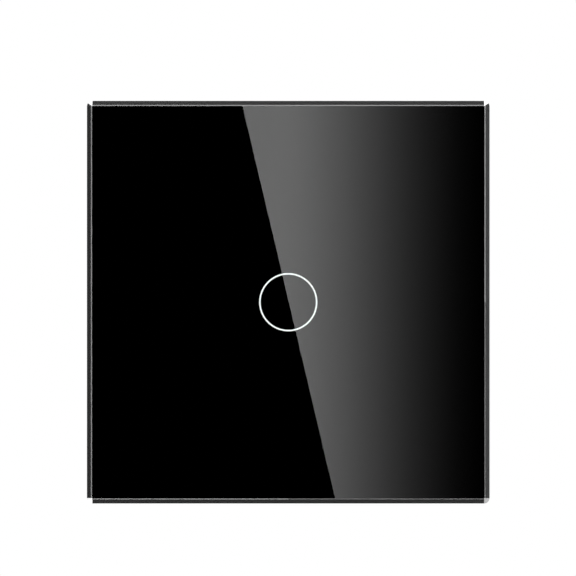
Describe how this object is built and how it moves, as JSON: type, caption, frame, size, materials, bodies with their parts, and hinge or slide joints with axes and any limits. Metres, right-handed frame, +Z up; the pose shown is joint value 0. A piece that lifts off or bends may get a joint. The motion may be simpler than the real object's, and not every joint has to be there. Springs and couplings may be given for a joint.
{
  "type": "touch light switch",
  "caption": "Square black glass touch switch with one white ring, snapped onto a flush wall-box module with rising-cage screw terminals behind a steel mounting plate.",
  "frame": {"origin": "midway between the wall-box screws, on the rear face of the mounting plate, which is the wall surface", "axes": "+Y into the wall, +Z up, +X to the right seen from the room; the glass faces -Y"},
  "size_m": [0.08, 0.035, 0.08],
  "materials": {
    "clear_glass": "polished",
    "black_ink": "gloss",
    "white_ink": "matte",
    "foam_tape": "matte",
    "frame_plastic": "fine texture",
    "zinc_plate": "galvanised",
    "spring_steel": "satin",
    "rivet_metal": "satin",
    "housing_plastic": "fine texture",
    "cover_plastic": "fine texture",
    "screw_steel": "zinc plated",
    "diffuser_plastic": "translucent",
    "pad_copper": "gold flash",
    "spring_wire": "bright",
    "board_mask": "solder mask",
    "led_resin": "clear resin",
    "chip_mould": "matte",
    "tin": "tinned",
    "pin_gold": "gold flash",
    "strip_plastic": "matte",
    "relay_plastic": "semi matte",
    "bobbin_plastic": "matte",
    "copper_wire": "enamelled",
    "soft_iron": "plated",
    "contact_alloy": "satin",
    "can_sleeve": "shrink sleeve",
    "film_case": "semi matte",
    "varistor_coat": "dipped",
    "fuse_ceramic": "semi gloss",
    "ferrite": "matte",
    "block_plastic": "semi matte",
    "contact_brass": "satin",
    "cage_steel": "zinc plated",
    "terminal_screw_steel": "zinc plated"
  },
  "bodies": {
    "module": {"mounting_plate": "zinc_plate", "snap_clips": "spring_steel", "clip_rivets": "rivet_metal", "rear_housing": "housing_plastic", "front_cover": "cover_plastic", "cover_screws": "screw_steel", "diffuser_cap": "diffuser_plastic", "spring_pad": "pad_copper", "touch_spring": "spring_wire", "touch_board": "board_mask", "status_leds": "led_resin", "touch_chip": "chip_mould", "supply_chip": "chip_mould", "rectifier_bridge": "chip_mould", "chip_leads": "tin", "chip_resistors": "chip_mould", "header_strip": "strip_plastic", "header_pins": "pin_gold", "power_board": "board_mask", "board_screws": "screw_steel", "relay_base": "relay_plastic", "relay_cover": "relay_plastic", "relay_yoke": "soft_iron", "relay_bobbin": "bobbin_plastic", "relay_winding": "copper_wire", "relay_contacts": "contact_alloy", "bulk_capacitor": "can_sleeve", "choke_core": "ferrite", "choke_winding": "copper_wire", "film_capacitor": "film_case", "varistor": "varistor_coat", "fuse_link": "fuse_ceramic", "component_leads": "tin", "terminal_block": "block_plastic", "terminal_contacts": "contact_brass"},
    "panel": {"glass_panel": "clear_glass", "back_print": "black_ink", "indicator_ring": "white_ink", "bonding_tape": "foam_tape", "panel_frame": "frame_plastic"},
    "screw_1": {"terminal_screw_1": "terminal_screw_steel"},
    "cage_1": {"terminal_cage_1": "cage_steel"},
    "screw_2": {"terminal_screw_2": "terminal_screw_steel"},
    "cage_2": {"terminal_cage_2": "cage_steel"},
    "screw_3": {"terminal_screw_3": "terminal_screw_steel"},
    "cage_3": {"terminal_cage_3": "cage_steel"},
    "armature": {"relay_armature": "soft_iron", "relay_blade": "contact_alloy"}
  },
  "joints": [
    {"name": "panel_release", "type": "slide", "parent": "module", "child": "panel", "axis": [0, -1, 0], "range_m": [0, 0.018], "deforming": ["snap_clips"]},
    {"name": "screw_1_turn", "type": "hinge", "parent": "module", "child": "screw_1", "pos_m": [-0.009, 0.0186, 0.0164], "axis": [0, -1, 0], "range_deg": [0, 2400]},
    {"name": "cage_1_lift", "type": "slide", "parent": "module", "child": "cage_1", "axis": [0, 1, 0], "range_m": [0, 0.004]},
    {"name": "screw_2_turn", "type": "hinge", "parent": "module", "child": "screw_2", "pos_m": [0, 0.0186, 0.0164], "axis": [0, -1, 0], "range_deg": [0, 2400]},
    {"name": "cage_2_lift", "type": "slide", "parent": "module", "child": "cage_2", "axis": [0, 1, 0], "range_m": [0, 0.004]},
    {"name": "screw_3_turn", "type": "hinge", "parent": "module", "child": "screw_3", "pos_m": [0.009, 0.0186, 0.0164], "axis": [0, -1, 0], "range_deg": [0, 2400]},
    {"name": "cage_3_lift", "type": "slide", "parent": "module", "child": "cage_3", "axis": [0, 1, 0], "range_m": [0, 0.004]},
    {"name": "relay_armature_rock", "type": "hinge", "parent": "module", "child": "armature", "pos_m": [-0.0185, 0.0163, 0.001], "axis": [0, 0, -1], "range_deg": [0, 3], "stiffness_Nm_per_rad": 0.0003, "springref_deg": -34.38}
  ],
  "couplings": [
    {"joint": "screw_1_turn", "follows": "cage_1_lift", "rad_per_m": 10472},
    {"joint": "screw_2_turn", "follows": "cage_2_lift", "rad_per_m": 10472},
    {"joint": "screw_3_turn", "follows": "cage_3_lift", "rad_per_m": 10472}
  ]
}
